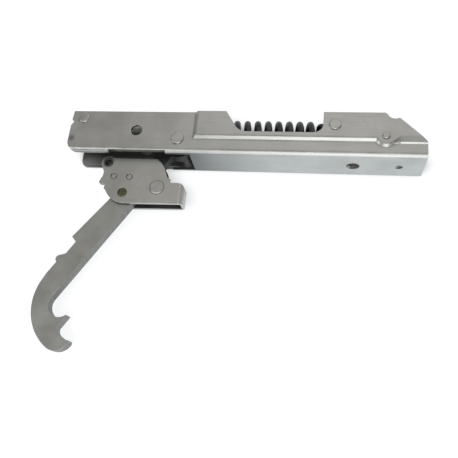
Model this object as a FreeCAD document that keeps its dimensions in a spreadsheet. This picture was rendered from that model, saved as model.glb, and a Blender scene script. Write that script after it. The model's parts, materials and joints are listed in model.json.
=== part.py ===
import FreeCAD, Part
import Sketcher
import math
import os
from FreeCAD import Placement, Rotation, Vector

# Oven door hinge: a folded sheet channel holds an extension spring that pulls a hooked arm
# round through a sliding link, and a folded clip on the arm turns between two detents.
# Frame: the axis of the front fixing bore is Z, X runs along the channel towards its rear
# end, Y runs from the web to the open edge, and Z = 0 is the middle plane of the channel.

SIZES = {
    # channel, folded from one sheet
    "sheet": 1.5,
    "channel_width": 24.4,
    "bend_radius": 2.8,
    "web_drop": 12.8,
    "edge_rise": 11.6,
    "front_reach": 38.6,
    "rear_reach": 153.6,
    "front_round": 5.0,
    "front_notch": 1.5,
    "front_notch_y": 4.9,
    "fixing_bore": 6.5,
    # openings in the web round the arm
    "slot_width": 18.4,
    "slot_ahead": 7.0,
    "throat_front": 14.7,
    "throat_rear": 6.2,
    "throat_rise": 1.15,
    # screw holes in the web
    "screw_hole": 7.0,
    "screw_hole_back": 36.4,
    "small_hole": 4.2,
    "small_hole_back": 12.9,
    # raised panel of each flange beside the spring, with a lobe and a tail behind it
    "panel_rise": 1.6,
    "panel_front": 31.6,
    "panel_joggle": 2.4,
    "panel_low": -5.4,
    "panel_ramp": 3.0,
    "panel_lobe": 6.6,
    "lobe_ramp": 2.2,
    "tail_back": 13.4,
    "tail_low": -5.5,
    "tail_ramp": 3.9,
    # cut-out of each flange over the spring
    "window_front": 49.2,
    "window_back": 6.1,
    "window_floor": -0.5,
    "window_slope": 6.0,
    "window_round": 5.0,
    # chamfered rear end with a relief notch
    "rear_rise": -4.4,
    "chamfer_back": 13.9,
    "chamfer_drop": 2.8,
    "relief_back": 21.0,
    "relief_depth": 3.3,
    # cross rivets
    "head_height": 0.6,
    "front_rivet_back": 7.1,
    "front_rivet_y": 7.5,
    "front_rivet": 5.0,
    "front_head": 6.2,
    "pivot_x": 23.5,
    "pivot_y": -4.2,
    "pivot_pin": 6.0,
    "pivot_head": 7.2,
    "spacer_outer": 8.2,
    "anchor_x": 107.1,
    "anchor_y": 4.6,
    "anchor_pin": 5.6,
    "anchor_neck": 4.0,
    "anchor_head": 6.4,
    "rear_rivet_back": 20.6,
    "rear_rivet_y": -1.5,
    "rear_rivet": 2.6,
    "rear_head": 4.0,
    # hook arm, in its own directions: along the arm from the pivot, and across it
    "arm_thickness": 5.5,
    "arm_angle": 237.0,
    "arm_front": 0.0,
    "arm_back": 12.1,
    "arm_neck": 9.0,
    "neck_end": 30.0,
    "neck_blend": 14.0,
    "arm_lobe": 7.7,
    "tooth_along": 75.6,
    "tooth_back": 14.2,
    "step_back": 10.5,
    "step_end": 84.6,
    "bump_back": 13.2,
    "bump_length": 6.4,
    "shank_end": 104.7,
    "shank_back": 11.5,
    "hook_along": 106.5,
    "hook_throat": 6.5,
    "barb_tip": 108.4,
    "barb_width": 0.6,
    "hook_back_along": 119.3,
    "hook_back_across": -3.0,
    "second_along": 116.2,
    "second_depth": 2.2,
    "second_width": 7.2,
    "lip_rise": 1.0,
    "lip_width": 3.3,
    "hook_end": 127.0,
    "crank_radius": 8.8,
    "crank_angle": 100.0,
    "crank_pin": 4.0,
    "crank_lobe": 4.2,
    # locking clip, placed from its pivot pin on the arm
    "clip_along": 40.55,
    "clip_across": -7.94,
    "clip_set": 123.0,
    "clip_sheet": 1.5,
    "clip_pin": 5.2,
    "clip_top": 20.3,
    "clip_top_end": 17.0,
    "clip_shoulder_x": 22.4,
    "clip_shoulder_y": 13.4,
    "clip_inner_x": 24.1,
    "clip_spur": 1.8,
    "clip_step": 6.4,
    "clip_reach": 34.2,
    "clip_bend": 3.0,
    "clip_bottom": -6.2,
    "clip_heel": 12.0,
    "clip_left": -10.6,
    "clip_nib": 3.4,
    "clip_nib_y": 6.0,
    "clip_waist": -12.5,
    "ear_x": -10.6,
    "ear_y": 17.6,
    "ear_radius": 3.9,
    "roll_pin": 5.6,
    "roll_wall": 0.9,
    "roll_slit": 0.9,
    "spacer_x": 18.9,
    "spacer_y": 3.6,
    "spacer_shank": 5.0,
    "spacer_head": 7.6,
    "spacer_proud": 0.25,
    "dimple_x": -6.2,
    "dimple_y": 9.5,
    "dimple_far_x": 2.8,
    "dimple_far_y": 9.3,
    "dimple": 4.0,
    "dimple_core": 2.4,
    "dimple_depth": 0.5,
    # link between the crank pin and the spring
    "link_sheet": 1.5,
    "link_length": 18.0,
    "link_tail": 4.2,
    "link_low": 4.2,
    "link_cover": 2.3,
    "link_tine": 2.4,
    "link_slack": 0.6,
    "link_drop": 0.3,
    "link_fold_start": 5.5,
    "link_fold_end": 11.0,
    "link_pin": 4.0,
    # extension spring
    "wire": 3.6,
    "coil_radius": 6.2,
    "coil_turns": 9,
    "loop_lead": 7.85,
    # clearances
    "side_gap": 0.35,
    "running_gap": 0.05,
    "loop_gap": 0.25,
    "pin_proud": 0.4,
}

doc = FreeCAD.newDocument("oven_door_hinge")
sheet = doc.addObject("Spreadsheet::Sheet", "Sizes")
for row, (alias, value) in enumerate(SIZES.items(), 1):
    sheet.set("A%d" % row, alias)
    sheet.set("B%d" % row, str(value))
    sheet.setAlias("B%d" % row, alias)
doc.recompute()


def size(alias):
    """Value of one driving dimension."""
    return float(sheet.get(alias))


def new_body(label, place=None, turn=None):
    """Body with its position, and its turn about Z, bound to expressions."""
    body = doc.addObject("PartDesign::Body", label)
    body.Label = label
    body.Placement = Placement(Vector(0, 0, 0), Rotation(Vector(0, 0, 1), 1 if turn else 0))
    if place:
        body.setExpression("Placement.Base.x", place[0])
        body.setExpression("Placement.Base.y", place[1])
    if turn:
        body.setExpression("Placement.Rotation.Angle", turn)
    return body


def new_sketch(body, name, role, offset=None):
    """Sketch on one of the body's own origin planes, moved along its normal by an expression."""
    sk = body.newObject("Sketcher::SketchObject", "%s_%s" % (body.Label, name))
    plane = next(f for f in body.Origin.OriginFeatures if f.Role == role)
    sk.AttachmentSupport = [(plane, "")]
    sk.MapMode = "FlatFace"
    if offset:
        sk.setExpression("AttachmentOffset.Base.z", offset)
    return sk


def add_outline(sk, start, steps):
    """Closed outline: each step is an end point, or a middle and an end point of an arc."""
    at = Vector(start[0], start[1], 0)
    for step in steps + [start]:
        if isinstance(step[0], tuple):
            mid = Vector(step[0][0], step[0][1], 0)
            end = Vector(step[1][0], step[1][1], 0)
            sk.addGeometry(Part.Arc(at, mid, end))
        else:
            end = Vector(step[0], step[1], 0)
            if end.distanceToPoint(at) < 1e-6:
                continue
            sk.addGeometry(Part.LineSegment(at, end))
        at = end


def add_circle(sk, x, y, diameter):
    """Circle whose diameter follows a cell or an expression."""
    value = float(sheet.evalExpression(diameter))
    geo = sk.addGeometry(Part.Circle(Vector(x, y, 0), Vector(0, 0, 1), value / 2))
    index = sk.addConstraint(Sketcher.Constraint("Diameter", geo, value))
    sk.setExpression("Constraints[%d]" % index, diameter)


def add_pad(body, sk, length, side="Symmetric", reverse=False):
    """Pad whose length follows an expression."""
    pad = body.newObject("PartDesign::Pad", sk.Name + "_pad")
    pad.Profile = sk
    pad.SideType = side
    pad.Reversed = reverse
    pad.setExpression("Length", length)
    return pad


def add_pocket(body, sk, length=None, side="Symmetric", reverse=False):
    """Pocket of a given length, or right through both ways."""
    doc.recompute()
    before = body.Shape.Volume
    cut = body.newObject("PartDesign::Pocket", sk.Name + "_pocket")
    cut.Profile = sk
    cut.SideType = side
    cut.Reversed = reverse
    if length:
        cut.setExpression("Length", length)
    else:
        cut.Type = "ThroughAll"
    doc.recompute()
    if body.Shape.Volume > before - 1e-6:
        raise RuntimeError("nothing was cut by " + cut.Name)
    return cut


def add_loft(body, outlines, kind):
    """Straight loft through outlines on parallel planes."""
    loft = body.newObject("PartDesign::%sLoft" % kind, outlines[0].Name + "_loft")
    loft.Profile = outlines[0]
    loft.Sections = outlines[1:]
    loft.Ruled = True
    return loft


def turned(label, place, profile, turn=None):
    """Turned piece about Z: the profile holds radius and height pairs."""
    body = new_body(label, place, turn)
    sk = new_sketch(body, "profile", "XZ_Plane")
    add_outline(sk, profile[0], profile[1:])
    spin = body.newObject("PartDesign::Revolution", label + "_turn")
    spin.Profile = sk
    spin.ReferenceAxis = (sk, ["V_Axis"])
    spin.Angle = 360
    return body


def on_circle(cx, cy, radius, degrees):
    """Point on a circle."""
    return (cx + radius * math.cos(math.radians(degrees)), cy + radius * math.sin(math.radians(degrees)))


half_width = size("channel_width") / 2
sheet_t = size("sheet")
web_y = -size("web_drop")
edge_y = size("edge_rise")
front_x = -size("front_reach")
rear_x = size("rear_reach")
front_rivet_x = front_x + size("front_rivet_back")
rear_rivet_x = rear_x - size("rear_rivet_back")
margin = 4.0

# Channel: folded U section along X
channel = new_body("hinge_channel")
sk = new_sketch(channel, "section", "YZ_Plane", "-Sizes.front_reach - 1")
outer_r = size("bend_radius")
inner_r = outer_r - sheet_t
k_out = outer_r * (1 - math.sqrt(0.5))
k_in = inner_r * (1 - math.sqrt(0.5))
inner_w = half_width - sheet_t
inner_y = web_y + sheet_t
add_outline(sk, (edge_y, -half_width), [
    (web_y + outer_r, -half_width),
    ((web_y + k_out, -half_width + k_out), (web_y, -half_width + outer_r)),
    (web_y, half_width - outer_r),
    ((web_y + k_out, half_width - k_out), (web_y + outer_r, half_width)),
    (edge_y, half_width),
    (edge_y, inner_w),
    (inner_y + inner_r, inner_w),
    ((inner_y + k_in, inner_w - k_in), (inner_y, inner_w - inner_r)),
    (inner_y, -inner_w + inner_r),
    ((inner_y + k_in, -inner_w + k_in), (inner_y + inner_r, -inner_w)),
    (edge_y, -inner_w),
])
add_pad(channel, sk, "Sizes.front_reach + Sizes.rear_reach + 1", "One side")


def raised_outline(sk, ramp, tail):
    """Outline of the raised panel, drawn in by shares of its front ramps and of its tail ramp."""
    left = size("panel_front") + ramp * size("panel_joggle")
    low = size("panel_low") + ramp * size("panel_ramp")
    lobe_r = size("panel_lobe") - ramp * size("lobe_ramp")
    lobe_y = size("rear_rivet_y")
    reach = math.sqrt(lobe_r ** 2 - (low - lobe_y) ** 2)
    leave = on_circle(rear_rivet_x, lobe_y, lobe_r, -50 + 10 * ramp)
    tail_y = size("tail_low") + tail * size("tail_ramp")
    add_outline(sk, (left, edge_y + margin), [
        (left, low),
        (rear_rivet_x - reach, low),
        (on_circle(rear_rivet_x, lobe_y, lobe_r, -90), leave),
        (rear_x - size("tail_back"), tail_y),
        (rear_x + margin, tail_y),
        (rear_x + margin, edge_y + margin),
    ])


# Raised panels: pressed through the sheet with rounded ramps, so both faces step alike.
# Each level holds its share of the rise, of the front ramps and of the tail ramp.
PANEL_LEVELS = ((0, 0, 0), (0.12, 0.30, 0.06), (0.41, 0.45, 0.19), (0.88, 0.70, 0.80), (1, 1, 1))
for side, sign in (("near", 1), ("far", -1)):
    for layer, inset, kind in (("outer", "0", "Additive"), ("inner", "Sizes.sheet", "Subtractive")):
        outlines = []
        for level, (rise, ramp, tail) in enumerate(PANEL_LEVELS):
            height = "%d * (Sizes.channel_width / 2 - %s + %.2f * Sizes.panel_rise)" % (sign, inset, rise)
            sk = new_sketch(channel, "panel_%s_%s_%d" % (side, layer, level), "XY_Plane", height)
            raised_outline(sk, ramp, tail)
            outlines.append(sk)
        add_loft(channel, outlines, kind)
        doc.recompute()

# Side outline of both flanges, cut through the whole width
sk = new_sketch(channel, "side", "XY_Plane")
box = 3 * margin
notch_y = size("front_notch_y")
win_l = size("window_front")
win_r = size("anchor_x") - size("window_back")
win_y = size("window_floor")
win_r1 = size("window_round")
slope = size("window_slope")
round_k = size("front_round")
rear_y = size("rear_rise")
cham_x = rear_x - size("chamfer_back")
cham_y = edge_y - size("chamfer_drop")
rel_x = rear_x - size("relief_back")
rel_y = edge_y - size("relief_depth")
add_outline(sk, (front_x + 0.8, edge_y), [
    (front_x + 0.3, notch_y + 1.2),
    (front_x + 0.2 + size("front_notch"), notch_y),
    (front_x + 0.2, notch_y - 2.4),
    (front_x, web_y + round_k + 1.0),
    ((front_x + 0.30 * round_k, web_y + 0.35 * round_k), (front_x + round_k, web_y)),
    (rear_x, web_y),
    (rear_x, rear_y - 0.7),
    ((rear_x - 0.2, rear_y + 0.1), (rear_x - 0.8, rear_y + 0.8)),
    (cham_x, cham_y),
    (((rel_x + cham_x) / 2 + 0.4, rel_y), (rel_x + 1.0, edge_y - 0.9)),
    (rel_x, edge_y),
    (win_r, edge_y),
    (win_r, win_y + win_r1),
    ((win_r - 0.29 * win_r1, win_y + 0.29 * win_r1), (win_r - win_r1, win_y)),
    (win_l + slope + win_r1, win_y),
    ((win_l + slope + 0.35 * win_r1, win_y + 0.22 * win_r1), (win_l + slope - 0.4, win_y + 0.62 * win_r1)),
    (win_l, edge_y),
])
add_outline(sk, (front_x - box, web_y - box), [
    (rear_x + box, web_y - box),
    (rear_x + box, edge_y + box),
    (front_x - box, edge_y + box),
])
add_pocket(channel, sk)

# Slot in the web for the arm, open at the front, and the full-width throat across both bends
sk = new_sketch(channel, "slot", "XZ_Plane", "Sizes.web_drop + 1")
slot_h = size("slot_width") / 2
slot_end = size("pivot_x") + size("slot_ahead")
add_outline(sk, (front_x - margin, -slot_h), [
    (slot_end, -slot_h),
    (slot_end, slot_h),
    (front_x - margin, slot_h),
])
add_pocket(channel, sk, "Sizes.sheet + 1.2", "One side", False)
sk = new_sketch(channel, "throat", "XZ_Plane", "Sizes.web_drop + 1")
throat_l = -size("throat_front")
throat_r = size("pivot_x") - size("throat_rear")
wide = half_width + size("panel_rise") + margin
add_outline(sk, (throat_l, -wide), [(throat_r, -wide), (throat_r, wide), (throat_l, wide)])
add_pocket(channel, sk, "Sizes.throat_rise + 1", "One side", False)

# Holes through both flanges and through the web
sk = new_sketch(channel, "flange_holes", "XY_Plane")
for x, y, diameter in (
    (0, 0, "Sizes.fixing_bore"),
    (front_rivet_x, size("front_rivet_y"), "Sizes.front_rivet"),
    (size("pivot_x"), size("pivot_y"), "Sizes.pivot_pin"),
    (size("anchor_x"), size("anchor_y"), "Sizes.anchor_pin"),
    (rear_rivet_x, size("rear_rivet_y"), "Sizes.rear_rivet"),
):
    add_circle(sk, x, y, diameter)
add_pocket(channel, sk)
sk = new_sketch(channel, "web_holes", "XZ_Plane", "Sizes.web_drop + 1")
add_circle(sk, rear_x - size("screw_hole_back"), 0, "Sizes.screw_hole")
add_circle(sk, rear_x - size("small_hole_back"), 0, "Sizes.small_hole")
add_pocket(channel, sk, "Sizes.sheet + 2", "One side", False)


def flat_head(radius, seat, top, edge):
    """Half profile of a flat head with a rounded edge, from its rim to its middle."""
    k = edge * (1 - math.sqrt(0.5))
    return [(radius, seat), ((radius - k, top - k), (radius - edge, top)), (0, top)]


def cross_rivet(label, place, shank, head, seat, neck=None, neck_half=0.0):
    """Rivet through both flanges, with flat heads on the seats and an optional necked middle."""
    r = size(shank) / 2
    r_head = size(head) / 2
    rise = size("head_height")
    top = seat + rise
    k = rise * (1 - math.sqrt(0.5))
    profile = [(0, -top), (r_head - rise, -top), ((r_head - k, k - top), (r_head, -seat)), (r, -seat)]
    if neck:
        r_neck = size(neck) / 2
        profile += [(r, -neck_half), (r_neck, -neck_half), (r_neck, neck_half), (r, neck_half)]
    profile += [(r, seat)] + flat_head(r_head, seat, top, rise)
    return turned(label, place, profile)


raised_seat = half_width + size("panel_rise")
arm_half = size("arm_thickness") / 2
side_gap = size("side_gap")
front_rivet_place = ("Sizes.front_rivet_back - Sizes.front_reach", "Sizes.front_rivet_y")
pivot_place = ("Sizes.pivot_x", "Sizes.pivot_y")
anchor_place = ("Sizes.anchor_x", "Sizes.anchor_y")
rear_rivet_place = ("Sizes.rear_reach - Sizes.rear_rivet_back", "Sizes.rear_rivet_y")
loop_half = size("wire") / 2 + side_gap
cross_rivet("front_cross_rivet", front_rivet_place, "front_rivet", "front_head", half_width)
cross_rivet("arm_pivot_pin", pivot_place, "pivot_pin", "pivot_head", half_width)
cross_rivet("spring_anchor_pin", anchor_place, "anchor_pin", "anchor_head", raised_seat,
            "anchor_neck", loop_half)
cross_rivet("rear_cross_rivet", rear_rivet_place, "rear_rivet", "rear_head", raised_seat)

# Spacer tubes that keep the arm in the middle of the channel
spacer_low = arm_half + side_gap
for side, sign in (("near", 1), ("far", -1)):
    r_in = size("pivot_pin") / 2
    r_out = size("spacer_outer") / 2
    turned("pivot_spacer_" + side, pivot_place, [
        (r_in, sign * spacer_low),
        (r_out, sign * spacer_low),
        (r_out, sign * inner_w),
        (r_in, sign * inner_w),
    ])

# Hook arm: one thick blank, drawn along its own length from the pivot
arm_turn = "Sizes.arm_angle"
arm = new_body("hook_arm", pivot_place, arm_turn)
sk = new_sketch(arm, "outline", "XY_Plane")
fr = size("arm_front")
bk = -size("arm_back")
lobe = size("arm_lobe")
neck = -size("arm_neck")
tooth = size("tooth_along")
step_b = -size("step_back")
step_e = size("step_end")
bump_b = -size("bump_back")
bump_e = step_e + size("bump_length")
shank_e = size("shank_end")
shank_b = -size("shank_back")
hook_x = size("hook_along")
hook_r = size("hook_throat")
hook_y = fr + hook_r
barb = on_circle(hook_x, hook_y, hook_r, 69)
barb_x = size("barb_tip")
barb_y = barb[1] + size("barb_width")
sec_x = size("second_along")
sec_d = size("second_depth")
sec_w = size("second_width")
sec_e = sec_x + sec_d
lip_r = size("lip_rise")
lip_w = size("lip_width")
lip_low = barb_y + sec_w
lip_y = lip_low + lip_w
end_x = size("hook_end")
clip_a = size("clip_along")
neck_e = size("neck_end")
lobe_front = math.sqrt(lobe ** 2 - fr ** 2)
lobe_back = math.sqrt(max(lobe ** 2 - neck ** 2, 0.04))
add_outline(sk, (lobe_front, fr), [
    (hook_x, fr),
    (on_circle(hook_x, hook_y, hook_r, 0), barb),
    (barb_x, barb[1] + 0.3 * size("barb_width")),
    ((barb_x + 0.15, barb_y - 0.15), (barb_x + 0.8, barb_y)),
    (sec_x, barb_y),
    ((sec_x + 0.8 * sec_d, barb_y + 0.22 * sec_w), (sec_e, barb_y + 0.55 * sec_w)),
    (sec_e, lip_low),
    ((sec_e - 0.3 * lip_r, lip_low + 0.33 * lip_w), (sec_e - lip_r, lip_low + 0.52 * lip_w)),
    (sec_e - lip_r, lip_y - 0.2 * lip_w),
    ((sec_e - 0.2 * lip_r, lip_y - 0.03 * lip_w), (sec_e + 1.2 * lip_r, lip_y)),
    ((end_x - 2.4, lip_y - 2.2), (end_x, lip_y - 8.6)),
    ((size("hook_back_along"), size("hook_back_across")), (shank_e, shank_b + 0.7)),
    (bump_e + 8.0, shank_b),
    (bump_e, shank_b),
    ((bump_e - 0.9, bump_b + 0.2), (bump_e - 3.2, bump_b)),
    (step_e, step_b),
    (tooth + 1.0, step_b),
    (tooth, -size("tooth_back")),
    (neck_e + size("neck_blend") + 4.0, bk),
    (neck_e + size("neck_blend"), bk),
    (neck_e, neck),
    (lobe_back, neck),
    ((-lobe, 0), (lobe_front, fr)),
])
add_pad(arm, sk, "Sizes.arm_thickness")

# Crank lobe that carries the link's pin
crank_r = size("crank_radius")
crank_rel = size("crank_angle") - size("arm_angle")
crank_x, crank_y = on_circle(0, 0, crank_r, crank_rel)
lobe_c = size("crank_lobe")
sk = new_sketch(arm, "crank", "XY_Plane")
side_a = on_circle(0, 0, lobe_c, crank_rel + 90)
side_b = on_circle(0, 0, lobe_c, crank_rel - 90)
add_outline(sk, side_a, [
    (on_circle(0, 0, lobe_c, crank_rel + 180), side_b),
    (side_b[0] + crank_x, side_b[1] + crank_y),
    (on_circle(crank_x, crank_y, lobe_c, crank_rel), (side_a[0] + crank_x, side_a[1] + crank_y)),
])
add_pad(arm, sk, "Sizes.arm_thickness")
sk = new_sketch(arm, "holes", "XY_Plane")
add_circle(sk, 0, 0, "Sizes.pivot_pin + 2 * Sizes.running_gap")
add_circle(sk, crank_x, crank_y, "Sizes.crank_pin")
add_circle(sk, clip_a, size("clip_across"), "Sizes.clip_pin")
add_pocket(arm, sk)

# Positions on the arm, carried into the hinge's own frame
crank_place = ("Sizes.pivot_x + Sizes.crank_radius * cos(Sizes.crank_angle * 1deg)",
               "Sizes.pivot_y + Sizes.crank_radius * sin(Sizes.crank_angle * 1deg)")
clip_place = (
    "Sizes.pivot_x + Sizes.clip_along * cos(Sizes.arm_angle * 1deg)"
    " - Sizes.clip_across * sin(Sizes.arm_angle * 1deg)",
    "Sizes.pivot_y + Sizes.clip_along * sin(Sizes.arm_angle * 1deg)"
    " + Sizes.clip_across * cos(Sizes.arm_angle * 1deg)",
)
clip_turn = "Sizes.arm_angle + Sizes.clip_set"
gap_half = arm_half + side_gap
link_out = gap_half + size("link_sheet")
clip_out = gap_half + size("clip_sheet")
proud = size("pin_proud")


def plain_pin(label, place, diameter, half, edge=0.3):
    """Straight pin with chamfered ends."""
    r = size(diameter) / 2
    return turned(label, place, [
        (0, -half), (r - edge, -half), (r, -half + edge), (r, half - edge), (r - edge, half), (0, half),
    ])


plain_pin("crank_pin", crank_place, "crank_pin", link_out + proud)
plain_pin("clip_pivot_pin", clip_place, "clip_pin", clip_out + 0.5 * proud)

# Locking clip: two cheeks with one bridge, folded round the arm
clip = new_body("locking_clip", clip_place, clip_turn)
sk = new_sketch(clip, "cheek", "XY_Plane")
ear_x = size("ear_x")
ear_y = size("ear_y")
ear_r = size("ear_radius")
top = size("clip_top")
step = size("clip_step")
reach = size("clip_reach")
low = size("clip_bottom")
left = size("clip_left")
heel = size("clip_heel")
sh_x = size("clip_shoulder_x")
sh_y = size("clip_shoulder_y")
in_x = size("clip_inner_x")
spur = size("clip_spur")
waist = size("clip_waist")
nib_y = size("clip_nib_y")
nib_x = left - size("clip_nib")
ear_top = on_circle(ear_x, ear_y, ear_r, 50)
ear_low = on_circle(ear_x, ear_y, ear_r, 195)
heel_x = left + heel
heel_y = low + heel
add_outline(sk, (ear_top[0] + 1.6, top), [
    (size("clip_top_end"), top),
    (size("clip_top_end") + 1.4, top - 1.1),
    (((size("clip_top_end") + 1.4 + sh_x) / 2 + 0.4, (top - 1.1 + sh_y) / 2 + 0.4), (sh_x, sh_y)),
    (in_x, step + 2.8),
    (in_x + spur, step + 2.3),
    (in_x + spur - 0.2, step + 0.9),
    ((in_x + spur, step + 0.3), (in_x + spur + 0.6, step)),
    (reach - 4.0, step),
    ((reach - 1.1, step - 1.1), (reach, step - 4.0)),
    (reach, low + 0.6),
    (heel_x, low),
    (on_circle(heel_x, heel_y, heel, 225), (left, heel_y - 1.9)),
    (left - 1.0, nib_y - 1.3),
    ((nib_x, nib_y - 0.3), (nib_x + 0.1, nib_y + 0.6)),
    (waist, nib_y + 3.6),
    (waist + 0.2, nib_y + 6.0),
    ear_low,
    (on_circle(ear_x, ear_y, ear_r, 115), ear_top),
])
add_pad(clip, sk, "2 * (Sizes.arm_thickness / 2 + Sizes.side_gap + Sizes.clip_sheet)")
sk = new_sketch(clip, "gap", "XY_Plane")
bridge_x = reach - size("clip_sheet")
far = left - 3 * margin
add_outline(sk, (far, low - margin), [
    (bridge_x, low - margin),
    (bridge_x, ear_y + 3 * margin),
    (far, ear_y + 3 * margin),
])
add_pocket(clip, sk, "Sizes.arm_thickness + 2 * Sizes.side_gap")
sk = new_sketch(clip, "bends", "XZ_Plane")
bend_r = size("clip_bend")
bend_z = clip_out - bend_r
for sign in (1, -1):
    add_outline(sk, (reach - bend_r, sign * clip_out), [
        (on_circle(reach - bend_r, sign * bend_z, bend_r, sign * 45), (reach, sign * bend_z)),
        (reach + margin, sign * bend_z),
        (reach + margin, sign * (clip_out + margin)),
        (reach - bend_r, sign * (clip_out + margin)),
    ])
add_pocket(clip, sk)
sk = new_sketch(clip, "holes", "XY_Plane")
add_circle(sk, 0, 0, "Sizes.clip_pin + 2 * Sizes.running_gap")
add_circle(sk, ear_x, ear_y, "Sizes.roll_pin")
add_circle(sk, size("spacer_x"), size("spacer_y"), "Sizes.spacer_shank")
add_pocket(clip, sk)

# Countersinks for the spacer rivet and ring-shaped detent dimples in both cheeks
for side, sign in (("near", 1), ("far", -1)):
    sk = new_sketch(clip, "sink_inner_" + side, "XY_Plane",
                    "%d * (Sizes.arm_thickness / 2 + Sizes.side_gap)" % sign)
    add_circle(sk, size("spacer_x"), size("spacer_y"), "Sizes.spacer_shank")
    sk_top = new_sketch(clip, "sink_outer_" + side, "XY_Plane",
                        "%d * (Sizes.arm_thickness / 2 + Sizes.side_gap + Sizes.clip_sheet)" % sign)
    add_circle(sk_top, size("spacer_x"), size("spacer_y"), "Sizes.spacer_head")
    add_loft(clip, [sk, sk_top], "Subtractive")
    doc.recompute()
    for name in ("dimple", "dimple_far"):
        ring = new_sketch(clip, "%s_ring_%s" % (name, side), "XY_Plane",
                          "%d * (Sizes.arm_thickness / 2 + Sizes.side_gap + Sizes.clip_sheet)" % sign)
        add_circle(ring, size(name + "_x"), size(name + "_y"), "Sizes.dimple")
        add_circle(ring, size(name + "_x"), size(name + "_y"), "Sizes.dimple_core")
        add_pocket(clip, ring, "Sizes.dimple_depth", "One side", sign < 0)


def on_clip(name):
    """Position on the clip, carried into the hinge's own frame."""
    x = "Sizes.%s_x" % name
    y = "Sizes.%s_y" % name
    turn = "(%s) * 1deg" % clip_turn
    return (
        "%s + %s * cos(%s) - %s * sin(%s)" % (clip_place[0], x, turn, y, turn),
        "%s + %s * sin(%s) + %s * cos(%s)" % (clip_place[1], x, turn, y, turn),
    )


# Spacer rivet between the cheeks, barely proud outside, and the slit roll pin in the ear
r_s = size("spacer_shank") / 2
r_h = size("spacer_head") / 2
face_out = clip_out + size("spacer_proud")
turned("clip_spacer_rivet", on_clip("spacer"), [
    (0, -face_out), (r_h - 0.5, -face_out), (r_h, -clip_out), (r_s, -gap_half),
    (r_s, gap_half), (r_h, clip_out), (r_h - 0.5, face_out), (0, face_out),
])
r_o = size("roll_pin") / 2
r_i = r_o - size("roll_wall")
pin_h = clip_out + 0.5 * proud
roll = turned("clip_roll_pin", on_clip("ear"), [(r_i, -pin_h), (r_o, -pin_h), (r_o, pin_h), (r_i, pin_h)])
sk = new_sketch(roll, "slit", "XY_Plane")
slit = size("roll_slit") / 2
add_outline(sk, (0, -slit), [(r_o + 1, -slit), (r_o + 1, slit), (0, slit)])
add_pocket(roll, sk)

# Link: two hooked cheeks over the crank pin, joined by a fold over the top
link_place = (crank_place[0], "Sizes.anchor_y")
link = new_body("spring_link", link_place)
sk = new_sketch(link, "cheek", "XY_Plane")
slot_w = size("crank_pin") / 2 + size("link_slack")
crank_high = size("pivot_y") + crank_r - size("anchor_y")
slot_top = crank_high + size("crank_pin") / 2 + size("link_drop")
tine = slot_w + size("link_tine")
low_y = -size("link_low")
high_y = slot_top + size("link_cover")
tail_x = size("link_length") + size("link_tail")
tail_r = size("link_tail")
fold_top = high_y + size("link_sheet")
add_outline(sk, (-tine, low_y), [
    (-slot_w, low_y),
    (-slot_w, slot_top - slot_w),
    ((0, slot_top), (slot_w, slot_top - slot_w)),
    (slot_w, low_y),
    (size("link_length"), low_y),
    ((tail_x, (low_y + high_y) / 2), (size("link_length"), high_y)),
    (size("link_fold_end"), high_y),
    (size("link_fold_end"), fold_top),
    (size("link_fold_start"), fold_top),
    (size("link_fold_start"), high_y),
    (-tine + 2.0, high_y),
    ((-tine + 0.6, high_y - 0.6), (-tine, high_y - 2.0)),
])
add_pad(link, sk, "2 * (Sizes.arm_thickness / 2 + Sizes.side_gap + Sizes.link_sheet)")
sk = new_sketch(link, "gap", "XY_Plane")
add_outline(sk, (-tine - margin, low_y - margin), [
    (tail_x + margin, low_y - margin),
    (tail_x + margin, high_y),
    (-tine - margin, high_y),
])
add_pocket(link, sk, "Sizes.arm_thickness + 2 * Sizes.side_gap")
sk = new_sketch(link, "hole", "XY_Plane")
add_circle(sk, size("link_length"), 0, "Sizes.link_pin")
add_pocket(link, sk)
hook_place = (crank_place[0] + " + Sizes.link_length", "Sizes.anchor_y")
plain_pin("link_spring_pin", hook_place, "link_pin", link_out + proud)

# Extension spring: a right-hand coil with an open loop at each end
spring = new_body("extension_spring", link_place)
crank_abs = size("pivot_x") + crank_r * math.cos(math.radians(size("crank_angle")))
hook_rel = size("link_length")
anchor_rel = size("anchor_x") - crank_abs
lead = size("loop_lead")
coil_from = hook_rel + lead
coil_to = anchor_rel - lead
mean_r = size("coil_radius")
wire_r = size("wire") / 2
sk = new_sketch(spring, "wire", "XY_Plane")
sk.addGeometry(Part.Circle(Vector(coil_from, mean_r, 0), Vector(0, 0, 1), wire_r))
coil = spring.newObject("PartDesign::AdditiveHelix", "spring_coil")
coil.Profile = sk
coil.ReferenceAxis = (sk, ["H_Axis"])
coil.Mode = "height-turns-angle"
coil.Height = coil_to - coil_from
coil.setExpression("Turns", "Sizes.coil_turns")
coil.LeftHanded = False
doc.recompute()


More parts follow.
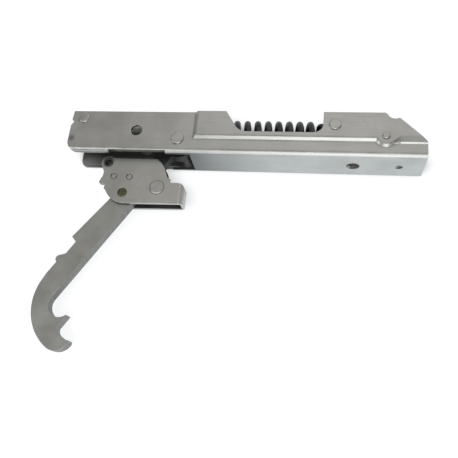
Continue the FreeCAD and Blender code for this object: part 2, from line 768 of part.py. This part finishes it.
def end_loop(name, centre_x, coil_x, pin):
    """Open loop in the middle plane round a pin, led off the end of the coil."""
    loop_r = size(pin) / 2 + size("loop_gap") + wire_r
    sign = 1 if coil_x > centre_x else -1
    dx = abs(coil_x - centre_x)
    away = math.hypot(dx, mean_r)
    touch = math.degrees(math.atan2(mean_r, dx)) + math.degrees(math.acos(loop_r / away))
    path = new_sketch(spring, name + "_path", "XY_Plane")

    def spot(degrees):
        x, y = on_circle(0, 0, loop_r, degrees)
        return Vector(centre_x + sign * x, y, 0)

    path.addGeometry(Part.LineSegment(Vector(coil_x, mean_r, 0), spot(touch)))
    path.addGeometry(Part.Arc(spot(touch), spot((touch + 355) / 2), spot(355)))
    start = new_sketch(spring, name + "_start", "YZ_Plane")
    start.AttachmentOffset = Placement(Vector(mean_r, 0, coil_x), Rotation())
    start.addGeometry(Part.Circle(Vector(0, 0, 0), Vector(0, 0, 1), wire_r))
    pipe = spring.newObject("PartDesign::AdditivePipe", name)
    pipe.Profile = start
    pipe.Spine = (path, [])
    doc.recompute()
    return pipe


end_loop("loop_link", hook_rel, coil_from, "link_pin")
end_loop("loop_anchor", anchor_rel, coil_to, "anchor_neck")

doc.recompute()
bad = [o.Name for o in doc.Objects if {"Invalid", "Error"} & set(o.State)]
if bad:
    raise RuntimeError("failed objects: " + ", ".join(bad))
bodies = [o for o in doc.Objects if o.TypeId == "PartDesign::Body"]
for body in bodies:
    shape = body.Shape
    if shape.isNull() or not shape.isValid() or len(shape.Solids) != 1:
        raise RuntimeError("%s: %d solids" % (body.Label, len(shape.Solids)))

os.makedirs("parts", exist_ok=True)
for body in bodies:
    body.Shape.exportStep("parts/%s.step" % body.Label)
    print("%-20s %9.1f mm3" % (body.Label, body.Shape.Volume))
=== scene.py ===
import json
import math

import bmesh
import bpy
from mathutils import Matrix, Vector


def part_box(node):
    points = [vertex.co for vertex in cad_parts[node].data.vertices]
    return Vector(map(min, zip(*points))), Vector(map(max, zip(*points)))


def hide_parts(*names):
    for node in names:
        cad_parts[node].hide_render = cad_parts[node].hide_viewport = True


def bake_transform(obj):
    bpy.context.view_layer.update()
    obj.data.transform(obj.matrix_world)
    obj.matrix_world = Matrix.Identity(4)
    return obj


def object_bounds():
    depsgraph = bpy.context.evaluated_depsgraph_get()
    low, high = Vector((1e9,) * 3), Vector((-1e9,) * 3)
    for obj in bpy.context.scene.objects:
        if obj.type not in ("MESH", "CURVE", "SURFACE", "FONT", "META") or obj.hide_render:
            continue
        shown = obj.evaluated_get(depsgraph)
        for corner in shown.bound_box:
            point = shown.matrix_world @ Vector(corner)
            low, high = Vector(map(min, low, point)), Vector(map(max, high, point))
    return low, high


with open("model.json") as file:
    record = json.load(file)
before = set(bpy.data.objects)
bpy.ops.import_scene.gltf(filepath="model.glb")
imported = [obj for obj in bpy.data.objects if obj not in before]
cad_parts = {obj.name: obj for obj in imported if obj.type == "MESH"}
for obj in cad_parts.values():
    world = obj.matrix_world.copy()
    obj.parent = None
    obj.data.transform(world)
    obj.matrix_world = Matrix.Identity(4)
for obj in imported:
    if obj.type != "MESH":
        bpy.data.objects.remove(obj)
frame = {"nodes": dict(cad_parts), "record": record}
CAD_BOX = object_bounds()
MM = 0.001

# Camera at the photograph's viewing angle, fitted to the outline of the channel and the arm
CAMERA_PLACE = (102.92 * MM, -154.12 * MM, 286.53 * MM)
CAMERA_TURN = (20.365, 7.666, 5.353)
CAMERA_LENS = 46.307
CAMERA_NEAR = 0.01
SENSOR = 36.0

# Spring wire, as in the solids
WIRE_RADIUS = 1.8 * MM
COIL_RADIUS = 6.2 * MM
COIL_TURNS = 9
LOOP_LEAD = 7.85 * MM
LOOP_GAP = 0.25 * MM
PIN_RADIUS = 2.0 * MM
STEPS_PER_TURN = 64
LOOP_STEPS = 40
LOOP_END = math.radians(355)
LEAD_STEPS = 6
WIRE_STEP = 0.5 * MM
EASING_PASSES = 6


def map_range(tree, value, low, high, to_low=0.0, to_high=1.0):
    """Stretches the part of a value between low and high."""
    ramp = tree.nodes.new("ShaderNodeMapRange")
    ends = {"From Min": low, "From Max": high, "To Min": to_low, "To Max": to_high}
    for key, number in ends.items():
        ramp.inputs[key].default_value = number
    tree.links.new(value, ramp.inputs["Value"])
    return ramp.outputs["Result"]


def scaled(color, factor):
    """A colour made darker or paler, up to white."""
    return tuple(min(1.0, factor * c) for c in color)


class Shader:
    """Builds one procedural material: a metal surface fed by small texture nodes."""

    def __init__(self, name):
        self.material = bpy.data.materials.new(name)
        self.material.use_nodes = True
        self.tree = self.material.node_tree
        self.tree.nodes.clear()
        self.out = self.node("ShaderNodeOutputMaterial")
        self.bsdf = self.node("ShaderNodeBsdfPrincipled")
        self.bsdf.inputs["Metallic"].default_value = 1.0
        self.link(self.bsdf.outputs["BSDF"], self.out.inputs["Surface"])
        self.coords = self.node("ShaderNodeTexCoord").outputs["Object"]

    def node(self, kind, **values):
        made = self.tree.nodes.new(kind)
        for key, value in values.items():
            setattr(made, key, value)
        return made

    def link(self, a, b):
        self.tree.links.new(a, b)

    def stretched(self, scale):
        """Object coordinates scaled differently along each axis."""
        mapping = self.node("ShaderNodeMapping")
        mapping.inputs["Scale"].default_value = scale
        self.link(self.coords, mapping.inputs["Vector"])
        return mapping.outputs["Vector"]

    def noise(self, scale, detail=3.0, rough=0.55, stretch=None):
        """Noise with features about 1 / scale metres across."""
        tex = self.node("ShaderNodeTexNoise")
        tex.inputs["Scale"].default_value = scale
        tex.inputs["Detail"].default_value = detail
        tex.inputs["Roughness"].default_value = rough
        self.link(self.stretched(stretch) if stretch else self.coords, tex.inputs["Vector"])
        return tex.outputs["Fac"]

    def spread(self, value, low, high, to_low=0.0, to_high=1.0):
        """Stretches the part of a value between low and high."""
        return map_range(self.tree, value, low, high, to_low, to_high)

    def math(self, operation, a, b):
        made = self.node("ShaderNodeMath", operation=operation)
        for socket, value in zip(made.inputs, (a, b)):
            if isinstance(value, (int, float)):
                socket.default_value = value
            else:
                self.link(value, socket)
        return made.outputs[0]

    def mix(self, factor, a, b):
        """Mix of two colours, each a tuple or a socket."""
        made = self.node("ShaderNodeMix", data_type="RGBA")
        self.link(factor, made.inputs["Factor"])
        for key, value in ((6, a), (7, b)):
            if isinstance(value, tuple):
                made.inputs[key].default_value = (*value, 1.0)
            else:
                self.link(value, made.inputs[key])
        return made.outputs[2]

    def rounded(self, radius):
        """Normal that rounds every edge a little."""
        bevel = self.node("ShaderNodeBevel", samples=6)
        bevel.inputs["Radius"].default_value = radius
        return bevel.outputs["Normal"]

    def edges(self, radius):
        """Mask that is 1 along convex and concave edges."""
        geometry = self.node("ShaderNodeNewGeometry")
        dot = self.node("ShaderNodeVectorMath", operation="DOT_PRODUCT")
        self.link(self.rounded(radius), dot.inputs[0])
        self.link(geometry.outputs["Normal"], dot.inputs[1])
        return self.spread(dot.outputs["Value"], 0.995, 0.85)

    def painted_shade_mask(self, distance):
        """Mask that is 1 in corners and under overhangs, used to paint shade there."""
        occlusion = self.node("ShaderNodeAmbientOcclusion", samples=6)
        occlusion.inputs["Distance"].default_value = distance
        return self.spread(occlusion.outputs["AO"], 0.75, 0.15)

    def shadow(self, towards, distance):
        """Share of the light from one side that surfaces within a distance let through."""
        side = self.node("ShaderNodeCombineXYZ")
        for socket, value in zip(side.inputs, towards):
            socket.default_value = value
        occlusion = self.node("ShaderNodeAmbientOcclusion", samples=24)
        occlusion.inputs["Distance"].default_value = distance
        self.link(side.outputs[0], occlusion.inputs["Normal"])
        return occlusion.outputs["AO"]

    def axis(self, name, normal=False):
        """One coordinate of the place in metres, or of the surface normal."""
        split = self.node("ShaderNodeSeparateXYZ")
        source = self.node("ShaderNodeTexCoord").outputs["Normal"] if normal else self.coords
        self.link(source, split.inputs[0])
        return split.outputs[name]

    def near(self, centre, inner, outer):
        """Mask that is 1 within the inner radius of a line along Z and 0 beyond the outer one."""
        dx = self.math("SUBTRACT", self.axis("X"), centre[0])
        dy = self.math("SUBTRACT", self.axis("Y"), centre[1])
        square = self.math("ADD", self.math("MULTIPLY", dx, dx), self.math("MULTIPLY", dy, dy))
        return self.spread(self.math("SQRT", square, 0.0), outer, inner)

    def inside_channel(self):
        """Mask that is 1 on the inner faces of the folded channel."""
        turned_in = self.math("MULTIPLY", self.axis("Z"), self.axis("Z", True))
        flange = self.math("LESS_THAN", turned_in, -0.004)
        web = self.math("MULTIPLY", self.math("LESS_THAN", self.axis("Y"), -0.0095),
                        self.math("GREATER_THAN", self.axis("Y", True), 0.4))
        return self.math("MAXIMUM", flange, web)

    def bump(self, height, depth, normal=None):
        """Bump of the given depth in metres, on top of another normal."""
        made = self.node("ShaderNodeBump")
        made.inputs["Strength"].default_value = 1.0
        made.inputs["Distance"].default_value = depth
        self.link(height, made.inputs["Height"])
        if normal:
            self.link(normal, made.inputs["Normal"])
        return made.outputs["Normal"]

    def finish(self, color, roughness, normal):
        for key, value in (("Base Color", color), ("Roughness", roughness), ("Normal", normal)):
            self.link(value, self.bsdf.inputs[key])
        return self.material


# Dark grey for painted shade in corners and at a bent corner, and for painted shadows below rivet
# heads
PAINTED_SHADE_GREY = (0.12, 0.12, 0.112)
# Near black for painted shade deep in recesses and under overhangs
DEEP_PAINTED_SHADE = (0.035, 0.037, 0.034)
SHEET_EDGE = 0.4 * MM       # rounding of sheet edges
PIN_EDGE = 0.3 * MM         # rounding of pin and rivet edges
PLATING_RELIEF = 0.012 * MM
WIRE_RELIEF = 0.015 * MM
DENT_RELIEF = 0.03 * MM


def plated(name, pale, dull, grain, rough=(0.30, 0.44), depth=0.016, rub=0.55, marks_and_painted_shade=None):
    """Zinc plating: cloudy grey with rolling lines, rubbed edges, and painted shade in the corners
    and recesses.
    """
    s = Shader(name)
    clouds = s.noise(70, 4.0)
    speckle = s.noise(900, 2.0)
    lines = s.noise(1.0, 3.0, 0.6, grain)
    color = s.mix(s.spread(clouds, 0.35, 0.65), dull, pale)
    darker = scaled(dull, 0.80)
    color = s.mix(s.spread(lines, 0.55, 0.80, 0.0, 0.45), color, darker)
    color = s.mix(s.spread(speckle, 0.62, 0.75, 0.0, 0.35), color, darker)
    color = s.mix(s.math("MULTIPLY", s.edges(SHEET_EDGE), rub), color, scaled(pale, 1.45))
    # Painted shade: corners and creases darkened by occlusion
    color = s.mix(s.math("MULTIPLY", s.painted_shade_mask(0.003), 0.6), color, PAINTED_SHADE_GREY)
    # Painted shade: recesses and overhangs within the given depth darkened to near black
    if depth:
        color = s.mix(s.math("MULTIPLY", s.painted_shade_mask(depth), 0.92), color, DEEP_PAINTED_SHADE)
    # Extra marks given per slot: painted shade, painted shadows and a painted reflection, grease,
    # and a dark joint ring
    if marks_and_painted_shade:
        for mask, mark_color in marks_and_painted_shade(s):
            cover = s.spread(clouds, 0.25, 0.75, 0.80, 0.98)
            color = s.mix(s.math("MULTIPLY", mask, cover), color, mark_color)
    wear = s.math("ADD", clouds, s.math("MULTIPLY", lines, 0.5))
    height = s.math("ADD", s.math("MULTIPLY", speckle, 0.5), lines)
    normal = s.bump(height, PLATING_RELIEF, s.rounded(SHEET_EDGE))
    return s.finish(color, s.spread(wear, 0.5, 1.0, *rough), normal)


def wire_steel(name):
    """Dark oiled spring wire with drawing lines and a few rubbed spots."""
    s = Shader(name)
    clouds = s.noise(160, 4.0)
    fine = s.noise(1400, 2.0)
    color = s.mix(s.spread(clouds, 0.35, 0.70), (0.045, 0.045, 0.048), (0.095, 0.094, 0.095))
    color = s.mix(s.spread(fine, 0.66, 0.78, 0.0, 0.6), color, (0.17, 0.165, 0.16))
    roughness = s.spread(clouds, 0.3, 0.7, 0.30, 0.48)
    return s.finish(color, roughness, s.bump(fine, WIRE_RELIEF))


def turned_steel(name, pale, dull, rough=(0.30, 0.46)):
    """Pins and rivets: hammered, slightly stained steel, with painted shade in the corners."""
    s = Shader(name)
    clouds = s.noise(350, 4.0)
    dents = s.noise(700, 2.0)
    color = s.mix(s.spread(clouds, 0.35, 0.68), dull, pale)
    color = s.mix(s.math("MULTIPLY", s.edges(PIN_EDGE), 0.45), color, scaled(pale, 1.4))
    # Painted shade: corners darkened towards a dark tone of the steel
    color = s.mix(s.math("MULTIPLY", s.painted_shade_mask(0.0015), 0.8), color, scaled(dull, 0.2))
    roughness = s.spread(clouds, 0.3, 0.7, *rough)
    return s.finish(color, roughness, s.bump(dents, DENT_RELIEF, s.rounded(PIN_EDGE)))


def middle(node):
    """Centre of a node's box."""
    low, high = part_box(node)
    return (Vector(low) + Vector(high)) / 2


# Places that carry marks, in metres
RIVETS = ("front_cross_rivet", "arm_pivot_pin", "spring_anchor_pin", "rear_cross_rivet")
# Place of painted shade standing in for a slight inward bend at the front corner of the flange
BENT_CORNER_SHADE = (-0.0367, -0.0054)
PIVOT = (0.0235, -0.0042)
CLIP_RIVET = (0.01371, -0.03032)


def rivet_painted_shadows(s):
    """Broken crescents of painted shadow below the rivet heads."""
    broken = s.spread(s.noise(420, 2.0), 0.38, 0.58)
    marks = []
    for node in RIVETS:
        low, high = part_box(node)
        centre = middle(node)
        radius = (high[0] - low[0]) / 2
        below = s.spread(s.math("SUBTRACT", centre.y, s.axis("Y")), 0.0, radius)
        ring = s.near((centre.x, centre.y), radius + 0.0002, radius + 0.0009)
        # Painted shadow: a crescent on the lower side of each head
        marks.append((s.math("MULTIPLY", s.math("MULTIPLY", ring, below), broken), PAINTED_SHADE_GREY))
    return marks


def channel_painted_shade(s):
    """Painted shade inside the channel, darkest at its front end away from the web, a painted
    darker reflection on the web by the slot, painted shade at the front corner of the flange, and
    painted shadows below the rivets.
    """
    deep = s.spread(s.axis("Y"), -0.0095, -0.004)
    inside = s.inside_channel()
    front = s.math("MULTIPLY", inside, s.spread(s.axis("X"), 0.062, 0.040))
    web = s.math("LESS_THAN", s.axis("Y", True), -0.9)
    web_painted_reflection = s.math("MULTIPLY", web, s.spread(s.axis("X"), 0.076, 0.034, 0.0, 0.90))
    return [
        # Painted shade: all inner faces darker, and much darker at the front end away from the web
        (s.math("MULTIPLY", inside, 0.5), (0.16, 0.163, 0.155)),
        (front, s.mix(deep, (0.34, 0.35, 0.345), (0.032, 0.035, 0.032))),
        # Painted reflection: the web darker towards the slot, where it mirrors the shaded floor by
        # the arm and clip
        (web_painted_reflection, (0.20, 0.203, 0.20)),
        # Painted shade standing in for a slight inward bend at the front corner of the flange
        (s.math("MULTIPLY", s.near(BENT_CORNER_SHADE, 0.0005, 0.0026), 0.75), PAINTED_SHADE_GREY),
    ] + rivet_painted_shadows(s)


def arm_edges_grease_and_shade(s):
    """Dull, streaked cut edges of the thick blank, and grease with painted shade on the arm round
    its pivot, inside the channel.
    """
    upright = s.math("ABSOLUTE", s.axis("Z", True), 0.0)
    streaks = s.spread(s.noise(1.0, 3.0, 0.6, (900, 900, 60)), 0.35, 0.65)
    cut = s.mix(streaks, (0.185, 0.178, 0.168), (0.25, 0.242, 0.228))
    return [
        (s.math("LESS_THAN", upright, 0.5), cut),
        # Grease and painted shade: the arm darkened round its pivot, where the channel shades it
        (s.near(PIVOT, 0.016, 0.022), (0.06, 0.063, 0.06)),
    ]


def clip_dirt(s):
    """Dark ring round the countersunk rivet of the clip."""
    outer = s.near(CLIP_RIVET, 0.0041, 0.0045)
    ring = s.math("SUBTRACT", outer, s.near(CLIP_RIVET, 0.0036, 0.0039))
    return [(s.math("MULTIPLY", ring, 0.6), (0.12, 0.12, 0.11))]


# How the rolling lines are stretched, and the material of each slot
ALONG_CHANNEL = (40, 900, 900)
ALONG_ARM = (300, 300, 900)
MATERIALS = {
    "zinc_sheet": plated("zinc_sheet", (0.50, 0.50, 0.485), (0.42, 0.42, 0.405), ALONG_CHANNEL,
                         depth=None, marks_and_painted_shade=channel_painted_shade),
    "arm_plate": plated("arm_plate", (0.45, 0.45, 0.43), (0.385, 0.385, 0.365), ALONG_ARM,
                        (0.38, 0.52), rub=0.12, marks_and_painted_shade=arm_edges_grease_and_shade),
    "clip_sheet": plated("clip_sheet", (0.50, 0.50, 0.478), (0.425, 0.425, 0.405), ALONG_ARM,
                         (0.34, 0.48), marks_and_painted_shade=clip_dirt),
    "link_sheet": plated("link_sheet", (0.40, 0.40, 0.39), (0.30, 0.30, 0.29), ALONG_CHANNEL,
                         (0.36, 0.50)),
    "rivet": turned_steel("rivet", (0.52, 0.52, 0.50), (0.40, 0.40, 0.385)),
    "spacer": turned_steel("spacer", (0.34, 0.34, 0.33), (0.24, 0.24, 0.235)),
    "pin": turned_steel("pin", (0.50, 0.50, 0.48), (0.41, 0.41, 0.395)),
    "olive_pin": turned_steel("olive_pin", (0.155, 0.145, 0.095), (0.09, 0.085, 0.06),
                              (0.38, 0.55)),
    "roll_pin": turned_steel("roll_pin", (0.20, 0.195, 0.17), (0.11, 0.108, 0.10)),
    "spring_wire": wire_steel("spring_wire"),
}
SLOTS = {part["node"]: part["material_slot"] for part in frame["record"]["subparts"]}


def dress(obj, slot):
    """Gives an object the material of one slot."""
    obj.data.materials.clear()
    obj.data.materials.append(MATERIALS[slot])


for node, obj in frame["nodes"].items():
    dress(obj, SLOTS[node])


def spring_line():
    """Centre line of the wire: loop on the link pin, right-hand coil, loop on the anchor pin."""
    hook = middle("link_spring_pin")
    anchor = middle("spring_anchor_pin")
    start = hook.x + LOOP_LEAD
    length = anchor.x - LOOP_LEAD - start
    loop_r = PIN_RADIUS + LOOP_GAP + WIRE_RADIUS
    steps = COIL_TURNS * STEPS_PER_TURN
    coil = []
    for i in range(steps + 1):
        turn = 2 * math.pi * COIL_TURNS * i / steps
        y, z = math.cos(turn) * COIL_RADIUS, math.sin(turn) * COIL_RADIUS
        side = Vector((start + length * i / steps, y, z))
        coil.append(side + Vector((0, anchor.y, 0)))

    def loop(centre, sign):
        reach = math.hypot(LOOP_LEAD, COIL_RADIUS)
        touch = math.atan2(COIL_RADIUS, LOOP_LEAD) + math.acos(loop_r / reach)
        points = []
        for i in range(LOOP_STEPS + 1):
            angle = touch + (LOOP_END - touch) * i / LOOP_STEPS
            x, y = sign * loop_r * math.cos(angle), loop_r * math.sin(angle)
            points.append(Vector((centre.x + x, centre.y + y, 0)))
        end = coil[0 if sign > 0 else -1]
        lead = [end.lerp(points[0], t / LEAD_STEPS) for t in range(1, LEAD_STEPS)]
        return lead + points

    line = list(reversed(loop(hook, 1))) + coil + loop(anchor, -1)
    return resampled(line, WIRE_STEP)


def resampled(line, step):
    """Evenly spaced points on a line, with its corners eased."""
    points = [line[0]]
    rest = 0.0
    for a, b in zip(line, line[1:]):
        span = (b - a).length
        while rest + span >= step:
            a = a + (b - a) * ((step - rest) / span)
            span = (b - a).length
            points.append(a)
            rest = 0.0
        rest += span
    for _ in range(EASING_PASSES):
        points = [points[0]] + [
            (p + 2 * q + r) / 4 for p, q, r in zip(points, points[1:], points[2:])
        ] + [points[-1]]
    return points


def tube(name, line, radius, sides=18):
    """Round wire along a line, closed at both ends."""
    mesh = bmesh.new()
    rings = []
    across = Vector((0, 0, 1))
    for i, point in enumerate(line):
        ahead = (line[min(i + 1, len(line) - 1)] - line[max(i - 1, 0)]).normalized()
        across = (across - ahead * across.dot(ahead)).normalized()
        up = ahead.cross(across)
        rings.append([
            mesh.verts.new(point + radius * (math.cos(a) * across + math.sin(a) * up))
            for a in (2 * math.pi * k / sides for k in range(sides))
        ])
    for ring, following in zip(rings, rings[1:]):
        for k in range(sides):
            n = (k + 1) % sides
            mesh.faces.new((ring[k], ring[n], following[n], following[k]))
    mesh.faces.new(list(reversed(rings[0])))
    mesh.faces.new(rings[-1])
    data = bpy.data.meshes.new(name)
    bmesh.ops.recalc_face_normals(mesh, faces=mesh.faces)
    mesh.to_mesh(data)
    mesh.free()
    for polygon in data.polygons:
        polygon.use_smooth = len(polygon.vertices) == 4
    obj = bpy.data.objects.new(name, data)
    bpy.context.scene.collection.objects.link(obj)
    return obj


spring = tube("spring_wire_coil", spring_line(), WIRE_RADIUS)
dress(spring, "spring_wire")
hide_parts("extension_spring")
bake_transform(spring)

# Floor, soft light and camera
FLOOR_SIZE = 3.0
FLOOR_GAP = 0.2 * MM
FLOOR_GREY = (0.20, 0.20, 0.20, 1)
FLOOR_GLOW = 0.93
FLOOR_WHITE = (0.985, 0.99, 1.0)      # to the eye
FLOOR_REFLECTED = (0.90, 0.965, 1.0)  # in metal
CONTACT_SHADE = ((0.0, -1.0, 0.05), 0.014)  # side the light comes from, and reach
WIDE_SHADE = ((0.0, -0.71, 0.71), 0.05)
floor_mesh = bpy.data.meshes.new("floor")
half = FLOOR_SIZE / 2
floor_z = CAD_BOX[0][2] - FLOOR_GAP
floor_mesh.from_pydata(
    [(x * half, y * half, floor_z) for x, y in ((-1, -1), (1, -1), (1, 1), (-1, 1))],
    [], [(0, 1, 2, 3)],
)
floor = bpy.data.objects.new("floor", floor_mesh)
bpy.context.scene.collection.objects.link(floor)


def floor_paper():
    """Plain paper: white to the eye and in metal, with a soft shade, and grey for bounced light."""
    s = Shader("floor_paper")
    s.tree.nodes.remove(s.bsdf)
    diffuse = s.node("ShaderNodeBsdfDiffuse")
    diffuse.inputs["Color"].default_value = FLOOR_GREY
    contact = s.shadow(*CONTACT_SHADE)
    wide = s.shadow(*WIDE_SHADE)
    path = s.node("ShaderNodeLightPath")
    seen = s.math("ADD", path.outputs["Is Camera Ray"], path.outputs["Is Transmission Ray"])
    seen = s.math("MULTIPLY", seen, s.spread(contact, 0.82, 0.97, 0.0, FLOOR_GLOW))
    glossy = path.outputs["Is Glossy Ray"]
    mirrored = s.math("MULTIPLY", glossy, s.spread(wide, 0.40, 0.92, 0.15, 1.0))
    glow = s.node("ShaderNodeEmission")
    s.link(s.mix(glossy, FLOOR_WHITE, FLOOR_REFLECTED), glow.inputs["Color"])
    s.link(s.math("ADD", seen, mirrored), glow.inputs["Strength"])
    both = s.node("ShaderNodeAddShader")
    s.link(diffuse.outputs[0], both.inputs[0])
    s.link(glow.outputs[0], both.inputs[1])
    s.link(both.outputs[0], s.out.inputs["Surface"])
    return s.material


floor.data.materials.append(floor_paper())


# How the room light falls off with direction: axis, the ends of the change, and the levels there
ROOM_LEVEL = 0.79
ROOM_COLOR = (1.0, 0.985, 0.955)
ROOM_FALLS = (
    ("X", -0.55, 0.15, 0.46, 1.0),
    ("X", 0.25, 0.65, 1.0, 0.5),
    ("Y", -0.35, 0.22, 0.50, 1.0),
)
WALL_TOP = (0.10, 0.16)  # heights between which the white wall ends


def studio_room():
    """Room light from behind and above, dimmer at both sides and the front, over a white wall."""
    world = bpy.data.worlds.new("studio")
    world.use_nodes = True
    tree = world.node_tree
    tree.nodes.clear()
    out = tree.nodes.new("ShaderNodeOutputWorld")
    room = tree.nodes.new("ShaderNodeBackground")
    room.inputs["Color"].default_value = (*ROOM_COLOR, 1)
    place = tree.nodes.new("ShaderNodeSeparateXYZ")
    tree.links.new(tree.nodes.new("ShaderNodeTexCoord").outputs["Generated"], place.inputs[0])

    def combined(operation, a, b):
        made = tree.nodes.new("ShaderNodeMath")
        made.operation = operation
        for socket, value in zip(made.inputs, (a, b)):
            if isinstance(value, float):
                socket.default_value = value
            else:
                tree.links.new(value, socket)
        return made.outputs[0]

    level = ROOM_LEVEL
    for axis, *levels in ROOM_FALLS:
        level = combined("MULTIPLY", level, map_range(tree, place.outputs[axis], *levels))
    wall = map_range(tree, place.outputs["Z"], *WALL_TOP, 1.0, 0.0)
    tree.links.new(combined("MAXIMUM", level, wall), room.inputs["Strength"])
    tree.links.new(room.outputs[0], out.inputs["Surface"])
    return world


bpy.context.scene.world = studio_room()


def area_light(name, place, size, power, color):
    """Soft rectangular lamp at a place, turned to the object's middle."""
    data = bpy.data.lights.new(name, "AREA")
    data.shape = "RECTANGLE"
    data.size, data.size_y = size
    data.energy = power
    data.color = color
    lamp = bpy.data.objects.new(name, data)
    lamp.location = place
    towards = Vector(CENTRE) - Vector(place)
    lamp.rotation_euler = towards.to_track_quat("-Z", "Y").to_euler()
    bpy.context.scene.collection.objects.link(lamp)


CENTRE = (0.05, -0.03, 0.0)
COOL = (0.96, 0.98, 1.0)
WHITE = (1, 1, 1)
LAMPS = (
    # name, place, width and height, watts, colour
    ("front_box", (0.16, -0.80, 0.52), (0.62, 1.1), 4.8, COOL),
    ("left_box", (-0.85, -0.50, 0.30), (0.4, 0.5), 1.5, COOL),
    ("top_left", (-0.42, -0.42, 0.70), (0.3, 0.3), 0.8, WHITE),
    ("right_box", (0.90, 0.42, 0.27), (0.4, 0.3), 0.5, COOL),
    ("overhead", (-0.01, 0.56, 1.0), (0.45, 0.6), 0.30, WHITE),
)
for name, place, size, power, color in LAMPS:
    area_light(name, place, size, power, color)

camera_data = bpy.data.cameras.new("camera")
camera_data.lens = CAMERA_LENS
camera_data.sensor_width = SENSOR
camera_data.clip_start = CAMERA_NEAR
camera = bpy.data.objects.new("camera", camera_data)
camera.location = CAMERA_PLACE
camera.rotation_euler = [math.radians(a) for a in CAMERA_TURN]
bpy.context.scene.collection.objects.link(camera)
bpy.context.scene.camera = camera
bpy.context.scene.view_settings.view_transform = "Standard"
